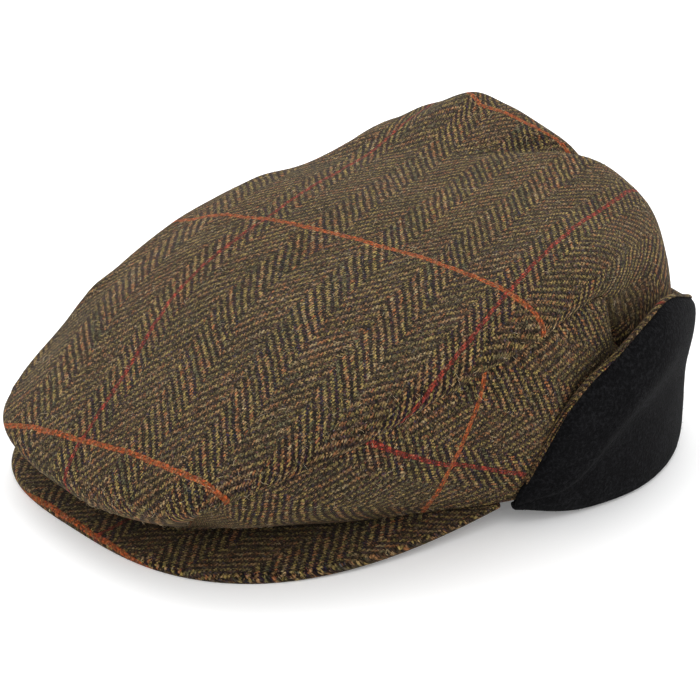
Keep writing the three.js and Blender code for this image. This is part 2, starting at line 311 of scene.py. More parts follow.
def top_panel(across, along):
    spine_y, spine_z, seam_x, seam_y, seam_z, square, lean, sway, skew = sample(CROWN, along)
    turn = abs(across) * SHOULDER
    power = 2 / square
    reach = (math.sin(turn) / math.sin(SHOULDER)) ** power
    fall = (1 - math.cos(turn) ** power) / (1 - math.cos(SHOULDER) ** power)
    x = math.copysign(seam_x * reach, across)
    y = lerp(spine_y, seam_y, fall) + skew * x
    z = lerp(spine_z, seam_z, fall) + lean * x
    for at_across, at_along, half_across, half_along, depth in DENTS:
        z -= depth * gauss(across, at_across, half_across) * gauss(along, at_along, half_along)
    z -= valley_dip(x, y) * (1 - smooth(along, *VALLEY_END))
    hem = rim_point(90 - across * (90 - SEAM_FOOT))
    pull = smooth(along, *HEM_PULL)
    return np.array((lerp(x + sway, hem[0], pull), lerp(y, hem[1], pull), z))


def side_curve(side, along):
    """Ends and handles of the curve that a side panel follows from its lower line up to its seam."""
    x, y, z, roll, bulge = sample(LOWER, along)
    before = sample(LOWER, max(along - SIDE_STEP, 0))
    after = sample(LOWER, min(along + SIDE_STEP, 1))
    out = np.array((side * (after[1] - before[1]), before[0] - after[0], 0))
    out /= np.linalg.norm(out)
    seam = top_panel(side, along)
    low = np.array((side * x, y, z))
    rise = SIDE_FOOT["rise"] * max(seam[2] - z, 0) + SIDE_FOOT["lift"]
    low_handle = low + out * SIDE_FOOT["roll"] * roll + np.array((0, 0, rise))
    high_handle = lerp(low, seam, SIDE_HEAD["share"]) + out * SIDE_HEAD["bulge"] * bulge
    return low, low_handle, high_handle, seam


def seam_roll(distance):
    """How far a panel dips into its seam, at a distance from the stitches."""
    away = np.maximum(distance, 0) / SEAM_ROLL["reach"]
    return SEAM_ROLL["depth"] * np.exp(-away ** SEAM_ROLL["power"])


def puckers(run, distance, start):
    stray = PUCKER["stray"] * np.sin(run / PUCKER["stray_wave"] + start)
    group = np.sin(run / PUCKER["group"] + start)
    waves = PUCKER["height"] * np.sin(run / PUCKER["wave"] + stray) * group
    return waves * np.exp(-distance / PUCKER["reach"])


def sewn_edge(grid, normals, run, distance, start):
    dip = seam_roll(distance) - puckers(run, distance, start)
    return grid - normals * dip[:, :, None]


def eased_corner(distance, side):
    """How both panels stand out together low on the back seam, where the cap fills its earflap."""
    full = np.array([
        gauss(b, CORNER["along"], CORNER["half"]) * (1 - smooth(b, *CORNER["foot"]))
        for b in along_steps])[None, :]
    full = full * np.where(side > 0, 1, CORNER["right"])
    wider, forward = (
        swell["by"] * full * np.exp(-(distance / swell["reach"]) ** 2)
        for swell in (CORNER_WIDER, CORNER_FORWARD))
    return np.stack((side * wider, -forward, 0 * wider), axis=2)


def shaped_top():
    """The top panel, with the length of cloth across it and along it."""
    grid = grid_of(across_steps, along_steps, top_panel)
    normals = outward(grid, 1)
    across_run = run_lengths(grid, 0, ACROSS_STEPS // 2)
    along_run = run_lengths(grid, 1, ALONG_STEPS // 2)
    distance = np.minimum(across_run - across_run[:1], across_run[-1:] - across_run)
    soft = swells(grid, TOP_SWELLS) * np.clip(distance / TOP_CALM, 0, 1)
    grid = grid + normals * soft[:, :, None]
    grid = grid + eased_corner(distance, np.sign(across_steps)[:, None])
    return sewn_edge(grid, normals, along_run, distance, TOP_PUCKERS), across_run, along_run


def shaped_side(side):
    """A side panel, with the length of cloth up it and along it."""
    curves = [side_curve(side, b) for b in along_steps]
    grid = np.array([[bezier(*curve, u) for curve in curves] for u in np.linspace(0, 1, SIDE_UP + 1)])
    normals = outward(grid, -side)
    up_run = run_lengths(grid, 0, 0)
    along_run = run_lengths(grid, 1, ALONG_STEPS // 2)
    distance = up_run[-1:] - up_run
    room = np.clip(up_run[-1:] / SIDE_CALM["narrow"], 0, 1)
    soft = swells(grid, SIDE_SWELLS, side)
    soft *= np.clip(distance / SIDE_CALM["seam"], 0, 1) * np.clip(up_run / SIDE_CALM["foot"], 0, 1) * room
    grid = grid + normals * soft[:, :, None] + eased_corner(distance, side)
    from_seam = distance + SIDE_TIP_AWAY * (1 - room)
    return sewn_edge(grid, normals, along_run, from_seam, SIDE_PUCKERS + side), up_run, along_run


# Peak: a stiff board in a tweed cover that goes round its edge.
def peak_point(place, girth):
    """Cover of the peak: girth runs from the forehead over the top, round the edge and back below."""
    turn = place * math.pi / 2
    power = 2 / PEAK["square"]
    sine = math.copysign(abs(math.sin(turn)) ** power, turn)
    cosine = max(math.cos(turn), 0) ** power
    to_temple = (1 - cosine) ** 2
    edge = np.array((
        PEAK["half_width"] * sine + PEAK["sway"] * cosine,
        lerp(PEAK["temple_y"], PEAK["tip_y"], cosine),
        lerp(*PEAK_EDGE_Z, to_temple)))
    temple = math.degrees(math.asin(-PEAK["temple_y"] / RIM["front"]))
    root = rim_point(-90 + place * (90 - temple))
    root[0] -= math.copysign(PEAK["temple_inset"] * abs(place), place)
    root[1] += PEAK["front_inset"] * cosine
    root[2] = lerp(*PEAK_ROOT_Z, to_temple)
    run = np.linalg.norm(edge - root)
    way = (edge - root) / run
    half = lerp(BOARD, PEAK_END_BOARD, to_temple) / 2
    flat_run = run - half
    bow = math.pi * half
    walked = girth * (2 * flat_run + bow)
    if walked < flat_run:
        spot, lift = root + way * walked, half
    elif walked < flat_run + bow:
        swing = (walked - flat_run) / half
        spot = root + way * (flat_run + half * math.sin(swing))
        lift = half * math.cos(swing)
    else:
        spot, lift = root + way * (2 * flat_run + bow - walked), -half
    spot = spot + np.array((0, 0, lift))
    spot[2] = max(spot[2], 0)
    return spot


# Earflap: the fleece outside, and the tweed facing inside that rolls over its edge.
def flap_profile(row, pinch):
    """Section of the earflap's outer face, out from the rim and up, from its seat to its brim."""
    _, fold_out, fold_z, ridge_out, ridge_z, top_out, top_z = row
    seat = RIM["height"] - FLAP_SEAT
    shoulder = FLAP_SHOULDER["out"] * smooth(top_z - ridge_z, *FLAP_SHOULDER["room"])
    inner = lerp(*FLAP_INNER, pinch)
    fold_round = min(FOLD_ROUND["most"], (ridge_z - fold_z) * FOLD_ROUND["share"])
    return np.array([
        (inner, seat),
        (inner, lerp(fold_z, seat, 0.5)),
        (lerp(*FLAP_FOOT, pinch), fold_z),
        (fold_out * FOLD_FLAT, fold_z),
        (fold_out, fold_z + fold_round),
        (lerp(fold_out, ridge_out, FLAP_WALL["out"]), lerp(fold_z, ridge_z, FLAP_WALL["up"])),
        (ridge_out, ridge_z),
        (lerp(top_out, ridge_out, FLAP_BROW["out"]) + shoulder, lerp(ridge_z, top_z, FLAP_BROW["up"])),
        (top_out - FLAP_SHOULDER["tuck"] * shoulder, top_z),
    ])


def flap_section(round_place):
    """Row of FLAP at a place from -1, the right temple, to 1, the left one, with its rim and way out."""
    row = sample(FLAP, 1 - abs(round_place)).copy()
    to_right = smooth(-round_place, *RIGHT_FROM)
    droop = lerp(1, RIGHT_DROOP, to_right * (1 - smooth(-round_place, *RIGHT_TO)))
    row[RIDGE_Z] *= droop
    row[TOP_Z] *= droop
    row[TOP_OUT] += RIGHT_EASE * to_right
    angle = 180 - row[ANGLE] if round_place < 0 else row[ANGLE]
    return row, rim_point(angle), rim_outward(angle)


def flap_lines(round_place):
    """Outer and inner lines of the fleece and of the facing at one place round the cap."""
    row, rim, out = flap_section(round_place)
    profile = flap_profile(row, smooth(abs(round_place), *PINCHED))
    turns = np.linspace(0, 1, FLAP_TURN + 1)
    spots = np.array([sample(profile, t) for t in turns])
    spots[:, 1] = np.maximum(spots[:, 1], max(row[FOLD_Z], 0))
    runs = np.gradient(spots, axis=0)
    runs /= np.maximum(np.linalg.norm(runs, axis=1, keepdims=True), TINY)
    normals = np.stack((runs[:, 1], -runs[:, 0]), axis=1)
    ends = smooth(abs(round_place), *THIN_ENDS)
    thin = np.array([max(ends, smooth(t, *THIN_BRIM)) for t in turns])
    fleece_depth = FLEECE * lerp(1, FLEECE_THIN, thin)
    facing_depth = FACING * lerp(1, FACING_THIN, thin)
    apart = lerp(PLY_GAP, END_GAP, ends)
    half = fleece_depth[-1] / 2
    brim = spots[-1] - normals[-1] * half

    def ply(depths):
        return list(spots - normals * depths[:, None])

    def lip(radius, flush):
        return [
            brim + lerp(half + flush, radius, turn / math.pi) * (
                normals[-1] * math.cos(turn) + runs[-1] * math.sin(turn))
            for turn in np.linspace(math.pi, 0, LIP_TURN + 1)[1:]]

    facing_out = ply(fleece_depth + apart + facing_depth)
    facing_in = ply(fleece_depth + apart)
    lines = {
        "fleece_out": list(spots),
        "fleece_in": ply(fleece_depth),
        "tweed_out": facing_out + lip(half + apart + facing_depth[-1], LIP_FLUSH["out"]),
        "tweed_in": facing_in + lip(half + apart, LIP_FLUSH["in"]),
    }
    return {
        name: [np.array((*(rim[:2] + out[:2] * spot[0]), spot[1])) for spot in line]
        for name, line in lines.items()}


def flap_faces():
    sections = [flap_lines(place) for place in np.linspace(-1, 1, FLAP_ROUND + 1)]
    return {name: np.array([lines[name] for lines in sections]) for name in sections[0]}


# Meshes of the pieces.
def to_frame(points):
    return (points + np.array((0, MIDDLE_Y, 0))) * MM


def select_only(piece):
    bpy.ops.object.select_all(action="DESELECT")
    piece.select_set(True)
    bpy.context.view_layer.objects.active = piece


def open_merged(piece, distance):
    """Opens a piece for editing, with its doubles merged."""
    select_only(piece)
    bpy.ops.object.mode_set(mode="EDIT")
    bpy.ops.mesh.select_all(action="SELECT")
    bpy.ops.mesh.remove_doubles(threshold=distance)


def close_facing_out():
    """Turns all faces of the open piece outwards and ends its editing."""
    bpy.ops.mesh.select_all(action="SELECT")
    bpy.ops.mesh.normals_make_consistent(inside=False)
    bpy.ops.object.mode_set(mode="OBJECT")
    bpy.ops.object.shade_smooth_by_angle(angle=SMOOTH_ANGLE)


def mesh_piece(name, points, faces):
    mesh = bpy.data.meshes.new(name)
    mesh.from_pydata(points.tolist(), [], faces)
    piece = bpy.data.objects.new(name, mesh)
    bpy.context.collection.objects.link(piece)
    return piece


def sheet_of_cloth(name, grid, u, v):
    """A gridded sheet laid over the shape of one piece, with its cloth measure in metres as UV."""
    rows, columns = grid.shape[:2]
    bpy.ops.object.select_all(action="DESELECT")
    bpy.ops.mesh.primitive_grid_add(x_subdivisions=columns - 1, y_subdivisions=rows - 1, size=2)
    sheet = bpy.context.active_object
    sheet.name = name
    mesh = sheet.data
    mesh.name = name
    flat = np.empty(len(mesh.vertices) * 3)
    mesh.vertices.foreach_get("co", flat)
    flat = flat.reshape(-1, 3)
    column = np.rint((flat[:, 0] + 1) / 2 * (columns - 1)).astype(int)
    row = np.rint((flat[:, 1] + 1) / 2 * (rows - 1)).astype(int)
    mesh.vertices.foreach_set("co", to_frame(grid)[row, column].ravel())
    while mesh.uv_layers:
        mesh.uv_layers.remove(mesh.uv_layers[0])
    layer = mesh.uv_layers.new(name="cloth")
    corner = np.empty(len(mesh.loops), dtype=np.int32)
    mesh.loops.foreach_get("vertex_index", corner)
    measure = np.stack((u[row, column], v[row, column]), axis=1) * MM
    layer.data.foreach_set("uv", measure[corner].ravel())
    mesh.update()
    return sheet


def faces_down(sheet):
    """True where a crown sheet was laid with its faces towards the head."""
    return sum(face.normal.z * face.area for face in sheet.data.polygons) < 0


def thicken(sheet, turn_over):
    """Gives a crown sheet the thickness of its cloth, inwards from its outer face."""
    open_merged(sheet, MERGE)
    bpy.ops.mesh.dissolve_degenerate(threshold=STRAY_EDGE)
    bpy.ops.mesh.select_all(action="SELECT")
    if turn_over:
        bpy.ops.mesh.flip_normals()
    bpy.ops.object.mode_set(mode="OBJECT")
    wall = sheet.modifiers.new("wall", "SOLIDIFY")
    wall.thickness = CLOTH * MM
    wall.offset = -1
    wall.use_even_offset = False
    bpy.ops.object.modifier_apply(modifier=wall.name)
    bpy.ops.object.shade_smooth_by_angle(angle=SMOOTH_ANGLE)


def cloth_shell(name, face, back, u, v):
    """A closed wall of cloth between two grids, with its cloth measure in metres as UV."""
    rows, columns = face.shape[:2]
    number = np.arange(rows * columns).reshape(rows, columns)
    behind = number + rows * columns
    quads = []
    for one, flip in ((number, False), (behind, True)):
        ring = (one[:-1, :-1], one[1:, :-1], one[1:, 1:], one[:-1, 1:])
        quads.append(np.stack(ring[::-1] if flip else ring, axis=2).reshape(-1, 4))
    for a, b in ((number[0], behind[0]), (behind[-1], number[-1]),
                 (behind[:, 0], number[:, 0]), (number[:, -1], behind[:, -1])):
        quads.append(np.stack((a[1:], a[:-1], b[:-1], b[1:]), axis=1)[:, ::-1])
    quads = np.concatenate(quads)
    points = np.concatenate((to_frame(face).reshape(-1, 3), to_frame(back).reshape(-1, 3)))
    piece = mesh_piece(name, points, quads.tolist())
    layer = piece.data.uv_layers.new(name="cloth")
    measure = np.tile(np.stack((u.ravel(), v.ravel()), axis=1), (2, 1)) * MM
    layer.data.foreach_set("uv", measure[quads.ravel()].ravel())
    open_merged(piece, FINE_MERGE)
    close_facing_out()
    return piece


# Cloth measure. The herringbone lies askew on each panel, and the overcheck repeats every REPEAT.
REPEAT = 120.0
ENDS = 128
PICKS = 111
COLUMN_ENDS = 16
TOP_WEAVE = {"lean": 0.29, "across": 48, "slant": 0.11, "along": 132}
SIDE_WEAVE = {"lean": 0.49, "up": 12.3, "slant": 0.07, "along": 31.8}
PEAK_WEAVE = {"across": 6, "along": 141.5}

# On the front of the top the columns are drawn over to the right, less towards the left seam. Behind the
# overcheck line across the middle the picks lie closer, and towards the right they run further back.
DRAWN_OVER = {"most": 10.3, "middle": -58, "half": 38, "ease": 4.2, "fade": 50}
CLOSER = {"by": 0.18, "length": 110}
RUN_BACK = {"start": 40, "length": 60, "ease": 5}
RUN_BACK_SLOPES = ((0.13, 8), (0.5, 38))


def top_measure(u, v):
    drawn = DRAWN_OVER["most"] * np.exp(-((v - DRAWN_OVER["middle"]) / DRAWN_OVER["half"]) ** 2)
    fade = np.clip((DRAWN_OVER["fade"] - u) / DRAWN_OVER["fade"], 0, 1)
    across = u + TOP_WEAVE["lean"] * v + TOP_WEAVE["across"] + (drawn - DRAWN_OVER["ease"]) * fade
    along = v - TOP_WEAVE["slant"] * u + TOP_WEAVE["along"]
    behind = np.maximum(along - REPEAT, 0)
    rear = np.clip((behind - RUN_BACK["start"]) / RUN_BACK["length"], 0, 1)
    back = sum(slope * np.maximum(-u - start, 0) for slope, start in RUN_BACK_SLOPES)
    closer = CLOSER["by"] * np.minimum(behind, CLOSER["length"])
    return across, along + closer - rear * (back - RUN_BACK["ease"])


def side_measure(up_run, along_run):
    across = up_run + SIDE_WEAVE["lean"] * along_run - SIDE_WEAVE["up"]
    return across, along_run - SIDE_WEAVE["slant"] * up_run + SIDE_WEAVE["along"]


def peak_measure(grid):
    """Lays the cover out flat: straight out from the forehead line, as far as the cloth has run."""
    root = grid[:, :1, :2]
    way = grid[:, PEAK_GIRTH // 2 : PEAK_GIRTH // 2 + 1, :2] - root
    way /= np.linalg.norm(way, axis=2, keepdims=True)
    flat = root + way * run_lengths(grid, 1, 0)[:, :, None]
    return flat[:, :, 0] - PEAK_WEAVE["across"], flat[:, :, 1] + PEAK_WEAVE["along"]


def flap_measure(face):
    return run_lengths(face, 0, len(face) // 2), run_lengths(face, 1, 0)


top_grid, top_across_run, top_along_run = shaped_top()
top_cover = sheet_of_cloth("top_cover", top_grid, *top_measure(top_across_run, top_along_run))
thicken(top_cover, faces_down(top_cover))

side_covers = {}
side_grids = {}
for label, side in (("left", 1), ("right", -1)):
    side_grids[label], up_run, along_run = shaped_side(side)
    cover = sheet_of_cloth(label + "_cover", side_grids[label], *side_measure(up_run, along_run))
    thicken(cover, side < 0)
    side_covers[label] = cover


def covered_peak():
    """The peak, joined along the forehead line and at the two temples."""
    grid = grid_of(np.linspace(-1, 1, PEAK_PLACES + 1), np.linspace(0, 1, PEAK_GIRTH + 1), peak_point)
    grid = np.concatenate((grid, grid[:, :1]), axis=1)
    cover = sheet_of_cloth("peak_cover", grid, *peak_measure(grid))
    open_merged(cover, MERGE)
    bpy.ops.mesh.fill_holes(sides=0)
    close_facing_out()
    return cover


peak_cover = covered_peak()


def piled_face(face):
    """The fleece's outer face with the unevenness of its pile, flattened on the floor and at the brim."""
    lying = np.clip(face[:, :, 2] / PILE_CALM, 0, 1)
    settled = lying * np.linspace(1, BRIM_PILE, FLAP_TURN + 1)
    piled = face + outward(face, 1) * (swells(face, PILE_SWELLS) * settled)[:, :, None]
    piled[:, :, 2] = np.maximum(piled[:, :, 2], 0)
    return piled


flap = flap_faces()
fleece_face = piled_face(flap["fleece_out"])
fleece_cover = cloth_shell("fleece_cover", fleece_face, flap["fleece_in"], *flap_measure(fleece_face))
facing_face = flap["tweed_out"][FACING_SHORT:-FACING_SHORT]
facing_back = flap["tweed_in"][FACING_SHORT:-FACING_SHORT]
facing_cover = cloth_shell("facing_cover", facing_face, facing_back, *flap_measure(facing_face))

# Loose fibres and nap: thin three-sided hairs that stand on a cloth and stay clear of the floor.
HAIR_CLEAR = 0.2
HAIR_THICKNESS = (0.7, 1.2)
HAIR_TAPER = 0.6
HAIR_CORNERS = (0.0, 2.1, 4.2)
HAIR_CURL = 0.3
HAIR_DROOP = 0.25
TOP_FIBRES = {"count": 1500, "length": (1.5, 5.0), "radius": 0.07, "rise": (0.05, 0.5), "bends": 5}
LEFT_FIBRES = {"count": 200, "length": (1.5, 4.5), "radius": 0.07, "rise": (0.05, 0.4), "bends": 5}
NAP = {"count": 12000, "length": (0.7, 1.6), "radius": 0.08, "rise": (0.3, 1.1), "bends": 2}


def clear_of_floor(spot):
    spot.z = max(spot.z, HAIR_CLEAR)
    return spot


def hair_points(picker, spot, normal, kind):
    """Three corners for each ring of one hair, from its root to its tip."""
    bends = kind["bends"]
    way = Vector([picker.uniform(-1, 1) for _ in range(3)])
    way = (way - normal * way.dot(normal)).normalized()
    heading = (way + normal * picker.uniform(*kind["rise"])).normalized()
    pace = picker.uniform(*kind["length"]) / bends
    thick = kind["radius"] * picker.uniform(*HAIR_THICKNESS)
    points = []
    for ring in range(bends + 1):
        side = heading.cross(normal)
        side = side.normalized() if side.length > TINY else way
        over = side.cross(heading)
        taper = thick * (1 - HAIR_TAPER * ring / bends)
        for turn in HAIR_CORNERS:
            points.append(spot + (side * math.cos(turn) + over * math.sin(turn)) * taper)
        curl = Vector([picker.gauss(0, HAIR_CURL) for _ in range(3)])
        heading = (heading + curl - normal * HAIR_DROOP * ring).normalized()
        spot = clear_of_floor(spot + heading * pace)
    return points


def hair_faces(base, bends):
    faces = []
    for low in range(base, base + 3 * bends, 3):
        for k in range(3):
            after = (k + 1) % 3
            faces.append((low + k, low + after, low + 3 + after, low + 3 + k))
    tip = base + 3 * bends
    return faces + [(base + 2, base + 1, base), (tip, tip + 1, tip + 2)]


def hairs(name, grid, turn, kind, seed):
    """Hairs spread evenly over the area of a grid of cloth."""
    picker = random.Random(seed)
    normals = outward(grid, turn)
    one = grid[1:, :-1] - grid[:-1, :-1]
    two = grid[:-1, 1:] - grid[:-1, :-1]
    areas = np.linalg.norm(np.cross(one, two), axis=2).ravel()
    cells = picker.choices(range(len(areas)), weights=areas.tolist(), k=kind["count"])
    points, faces = [], []
    for cell in cells:
        i, j = divmod(cell, one.shape[1])
        spot = Vector(grid[i, j] + one[i, j] * picker.random() + two[i, j] * picker.random())
        faces += hair_faces(len(points), kind["bends"])
        points += hair_points(picker, clear_of_floor(spot), Vector(normals[i, j]), kind)
    return mesh_piece(name, to_frame(np.array(points)), faces)


top_fibres = hairs("top_fibres", top_grid, 1, TOP_FIBRES, seed=21)
left_fibres = hairs("left_fibres", side_grids["left"], -1, LEFT_FIBRES, seed=22)
fleece_nap = hairs("fleece_nap", fleece_face, 1, NAP, seed=23)

# Colours. A run of yarn colours goes from one end of its hue to the other.
LIGHT_YARN = (
    (0.05, (0.080, 0.078, 0.038)),
    (0.25, (0.155, 0.117, 0.040)),
    (0.45, (0.245, 0.176, 0.050)),
    (0.6, (0.235, 0.150, 0.066)),
    (0.75, (0.250, 0.085, 0.027)),
    (0.92, (0.290, 0.220, 0.112)))
DARK_YARN = (
    (0.1, (0.010, 0.007, 0.005)),
    (0.35, (0.022, 0.011, 0.006)),
    (0.6, (0.021, 0.007, 0.013)),
    (0.8, (0.009, 0.006, 0.016)),
    (0.95, (0.009, 0.013, 0.008)))
STRAY_YARN = (
    (0.1, (0.034, 0.060, 0.030)),
    (0.35, (0.260, 0.205, 0.115)),
    (0.6, (0.230, 0.072, 0.024)),
    (0.85, (0.024, 0.024, 0.062)))
MIDDLE_YARN = (0.092, 0.060, 0.030, 1)
ORANGE_YARN = (0.400, 0.078, 0.018, 1)
RED_YARN = (0.310, 0.034, 0.020, 1)
PALE_FIBRE = (0.36, 0.30, 0.20, 1)
FIBRE_COLOURS = ((0.35, (0.50, 0.42, 0.29)), (0.65, (0.30, 0.21, 0.11)))
FLEECE_COLOURS = (
    (0.36, (0.0006, 0.0006, 0.0009)),
    (0.5, (0.0026, 0.0026, 0.0032)),
    (0.64, (0.0105, 0.0105, 0.0118)))
FLOOR_TONES = ((0.3, (0.94, 0.94, 0.94)), (0.7, (0.96, 0.96, 0.96)))

# Weave. A float passes over two threads, an overcheck line is two threads wide, and every other column
# is muted. Grain is in waves per metre, and the threads wander by so many metres.
FLOAT = 2.0
TWILL = 2 * FLOAT
FLOAT_BOW = 0.5
SWAY = {"scale": 70.0, "by": 0.0024}
SHAKE = {"scale": 1100.0, "by": 0.0011}
CHECK_THREADS = 2.0
HUE = {"rib": 0.56, "thread": 0.5, "drift": 0.6, "start": -0.33}
DRIFT_SCALE = 160.0
MUTED = 0.3
ORANGE_SHARE = {"light": 0.58, "dark": 0.95}
RED_SHARE = {"light": 0.95, "dark": 0.36}

# Surface of the tweed. A tone gives the two ends of a pattern and the brightness at each.
TWEED_GAIN = 0.66
FUZZ = {"scale": 1000.0, "detail": 4.0, "roughness": 0.8}
FUZZ_TONE = (0.34, 0.66, 0.45, 1.55)
FUZZ_RAISED = (0.36, 0.64)
SPECK_SCALE = 1600.0
SPECK_TONE = (0.0, 1.0, 0.12, 1.88)
STRAY = {"kinds": (0.55, 0.95), "share": 0.5}
HAIR_LINE = {"scale": 260.0, "width": (0.003, 0.011, 1.0, 0.0), "patches": (0.5, 0.62), "share": 0.3}
CLOUD = {"scale": 26.0, "detail": 3.0}
CLOUD_TONE = (0.2, 0.8, 0.86, 1.14)
# Painted shade from the height of the weave: the gaps between floats are darkened, and a painted highlight
# lies on each float's rounded crown.
FLOAT_PAINTED_SHADE = (0.0, 0.9, 0.45, 1.2)
CHECK_EVEN = {"red": 0.5, "share": 0.35}
TWEED_HEIGHT = {"fuzz": 0.35, "float": 0.8}
TWEED_RELIEF = {"strength": 0.6, "distance": 0.0005}
TWEED_FINISH = {
    "Roughness": 0.92, "Specular IOR Level": 0.12,
    "Sheen Weight": 0.12, "Sheen Roughness": 0.5, "Sheen Tint": (0.62, 0.48, 0.32, 1)}

# Surfaces of the fleece, the fibres and the floor.
TUFT = {"scale": 800.0, "detail": 3.0, "roughness": 0.75}
LIE = {"scale": 90.0, "detail": 3.0}
TUFT_SHARE = 0.8
FLEECE_RELIEF = {"strength": 1.0, "distance": 0.0012}
FLEECE_FINISH = {
    "Roughness": 1.0, "Specular IOR Level": 0.1, "Sheen Weight": 0.008, "Sheen Roughness": 0.5}
FIBRE_GRAIN = 400.0
FIBRE_FINISH = {"Roughness": 0.8, "Specular IOR Level": 0.2}
FLOOR_GRAIN = 3.0
FLOOR_FINISH = {
    "Roughness": 0.9, "Specular IOR Level": 0.1,
    "Emission Color": (1, 1, 1, 1), "Emission Strength": 0.14}


def put(tree, kind, inputs=(), **settings):
    """Adds a node. An input is linked where it is another node's socket, and set where it is a value."""
    node = tree.nodes.new(kind)
    for key, value in settings.items():
        setattr(node, key, value)
    for key, value in dict(inputs).items():
        if isinstance(value, bpy.types.NodeSocket):
            tree.links.new(value, node.inputs[key])
        else:
            node.inputs[key].default_value = value
    return node


def start_material(name, finish):
    material = bpy.data.materials.new(name)
    material.use_nodes = True
    tree = material.node_tree
    tree.nodes.clear()
    output = tree.nodes.new("ShaderNodeOutputMaterial")
    shader = put(tree, "ShaderNodeBsdfPrincipled", finish)
    tree.links.new(shader.outputs["BSDF"], output.inputs["Surface"])
    return material, tree, shader


def dress(tree, shader, colour, height=None, strength=0.0, distance=0.0):
    """Gives a shader its colour and, where there is a height, its relief."""
    tree.links.new(colour, shader.inputs["Base Color"])
    if height is not None:
        relief = put(tree, "ShaderNodeBump", {
            "Strength": strength, "Distance": distance, "Height": height})
        tree.links.new(relief.outputs[0], shader.inputs["Normal"])


def sums(tree, operation, *values):
    return put(tree, "ShaderNodeMath", dict(enumerate(values)), operation=operation).outputs[0]


def between(tree, value, low, high, to_low=0.0, to_high=1.0):
    node = put(tree, "ShaderNodeMapRange", {
        "Value": value, "From Min": low, "From Max": high, "To Min": to_low, "To Max": to_high},
        interpolation_type="SMOOTHSTEP")
    return node.outputs["Result"]


def own_place(tree):
    return put(tree, "ShaderNodeTexCoord").outputs["Object"]


def grain(tree, vector, scale, detail=2.0, roughness=0.6):
    return put(tree, "ShaderNodeTexNoise", {
        "Vector": vector, "Scale": scale, "Detail": detail, "Roughness": roughness})


def channels(tree, colour):
    return list(put(tree, "ShaderNodeSeparateColor", {0: colour}).outputs)


def chance(tree, one, two, kind):
    """A random value and colour that stay the same for the same pair of numbers."""
    numbers = put(tree, "ShaderNodeCombineXYZ", {0: one, 1: two, 2: kind})
    node = put(tree, "ShaderNodeTexWhiteNoise", {"Vector": numbers.outputs[0]})
    return node.outputs["Value"], node.outputs["Color"]


def mixed(tree, share, one, two):
    return put(tree, "ShaderNodeMix", {"Factor": share, "A": one, "B": two}).outputs[0]


def blended(tree, share, one, two, way="MIX"):
    """Mixes two colours. The colour sockets of the mix node are found by their numbers."""
    node = put(tree, "ShaderNodeMix", {0: share, 6: one, 7: two}, data_type="RGBA", blend_type=way)
    return node.outputs[2]


def shades(tree, share, stops):
    node = put(tree, "ShaderNodeValToRGB", {"Fac": share})
    ramp = node.color_ramp
    while len(ramp.elements) < len(stops):
        ramp.elements.new(1.0)
    for element, (place, colour) in zip(ramp.elements, stops):
        element.position = place
        element.color = (*colour, 1)
    return node.outputs["Color"]


def thread_weave(tree, cloth, sway):
    """Numbers of the end, pick, column and rib at each place, with which yarn is up and how high."""
    place = put(tree, "ShaderNodeSeparateXYZ", {0: cloth})
    shake = channels(tree, grain(tree, cloth, SHAKE["scale"]).outputs["Color"])

    def threads(axis, spacing):
        drawn = place.outputs[axis]
        for wander, reach in ((sway[axis], SWAY["by"]), (shake[axis], SHAKE["by"])):
            drawn = sums(tree, "MULTIPLY_ADD", sums(tree, "SUBTRACT", wander, 0.5), reach, drawn)
        count = sums(tree, "DIVIDE", drawn, spacing * MM)
        return sums(tree, "FLOOR", count), sums(tree, "FRACT", count)

    end, end_share = threads(0, REPEAT / ENDS)
    pick, pick_share = threads(1, REPEAT / PICKS)
    shifted = sums(tree, "ADD", end, COLUMN_ENDS / 2)
    column = sums(tree, "FLOOR", sums(tree, "DIVIDE", shifted, COLUMN_ENDS))
    turned = sums(tree, "FLOORED_MODULO", column, 2.0)
    way = sums(tree, "MULTIPLY_ADD", turned, -2.0, 1.0)
    climb = sums(tree, "MULTIPLY_ADD", end, way, pick)
    climb = sums(tree, "MULTIPLY_ADD", turned, FLOAT, climb)
    stage = sums(tree, "FLOORED_MODULO", climb, TWILL)
    rib = sums(tree, "FLOOR", sums(tree, "DIVIDE", climb, TWILL))
    warp_up = sums(tree, "LESS_THAN", stage, FLOAT - 0.5)

    def float_height(stage_along, share_along, share_across):
        along = sums(tree, "MULTIPLY", sums(tree, "ADD", stage_along, share_along), 1 / FLOAT)
        bow = sums(tree, "SINE", sums(tree, "MULTIPLY", along, math.pi))
        tilt = sums(tree, "MULTIPLY_ADD", share_across, 2.0, -1.0)
        body = sums(tree, "SUBTRACT", 1.0, sums(tree, "MULTIPLY", tilt, tilt))
        return sums(tree, "MULTIPLY", body, sums(tree, "MULTIPLY_ADD", bow, FLOAT_BOW, 1 - FLOAT_BOW))

    forth_stage = sums(tree, "SUBTRACT", stage, FLOAT)
    back_stage = sums(tree, "SUBTRACT", TWILL - 1, stage)
    weft_stage = mixed(tree, turned, forth_stage, back_stage)
    weft_height = float_height(weft_stage, end_share, pick_share)
    warp_height = float_height(stage, pick_share, end_share)
    return {
        "end": end, "pick": pick, "column": column, "turned": turned, "rib": rib,
        "warp_up": warp_up, "height": mixed(tree, warp_up, weft_height, warp_height)}


def check_line(tree, number, repeat):
    turn = sums(tree, "FLOORED_MODULO", sums(tree, "ADD", number, 1.0), float(repeat))
    return sums(tree, "LESS_THAN", turn, CHECK_THREADS - 0.5)


